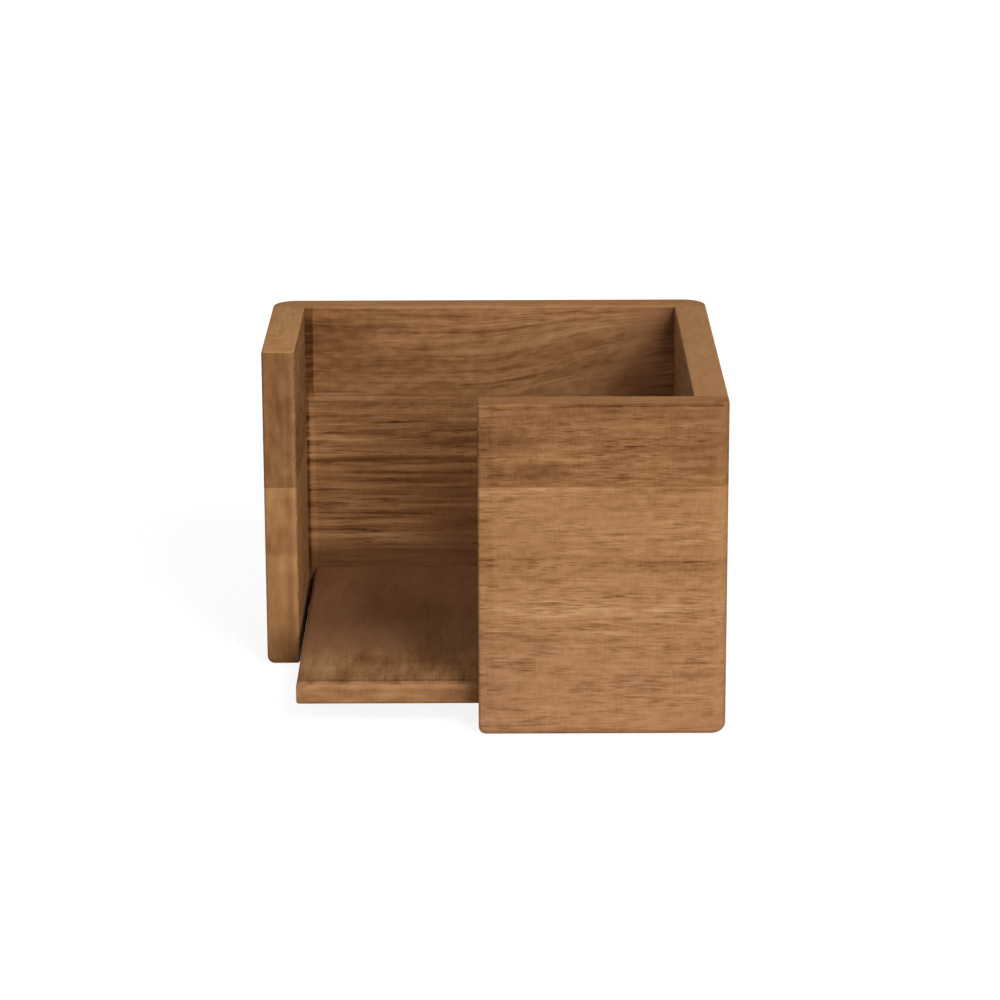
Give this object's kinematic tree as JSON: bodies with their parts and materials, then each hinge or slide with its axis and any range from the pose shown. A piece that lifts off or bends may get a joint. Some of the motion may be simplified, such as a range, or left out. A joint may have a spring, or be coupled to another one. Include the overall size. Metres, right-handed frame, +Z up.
{
  "type": "napkin holder",
  "caption": "Square open-topped wooden napkin holder with one open front corner for taking napkins and a thin raised base board.",
  "frame": {"origin": "on the table, under the middle of the holder's outside box", "axes": "+Z up, +X to the right as seen from the front, +Y to the back; the open corner is at -X, -Y"},
  "size_m": [0.152, 0.152, 0.11],
  "materials": {
    "back_wood": "satin oiled, grain left to right",
    "left_wood": "satin oiled, grain front to back",
    "right_wood": "satin oiled, grain front to back",
    "front_wood": "satin oiled, grain left to right",
    "base_wood": "satin oiled, grain front to back",
    "dowel_wood": "bare turned beech"
  },
  "bodies": {
    "root": {"back_panel": "back_wood", "left_panel": "left_wood", "right_panel": "right_wood", "front_panel": "front_wood", "base_panel": "base_wood", "back_left_dowels": "dowel_wood", "back_right_dowels": "dowel_wood", "front_right_dowels": "dowel_wood", "base_back_dowels": "dowel_wood", "base_right_dowels": "dowel_wood", "base_front_dowels": "dowel_wood"}
  },
  "joints": []
}
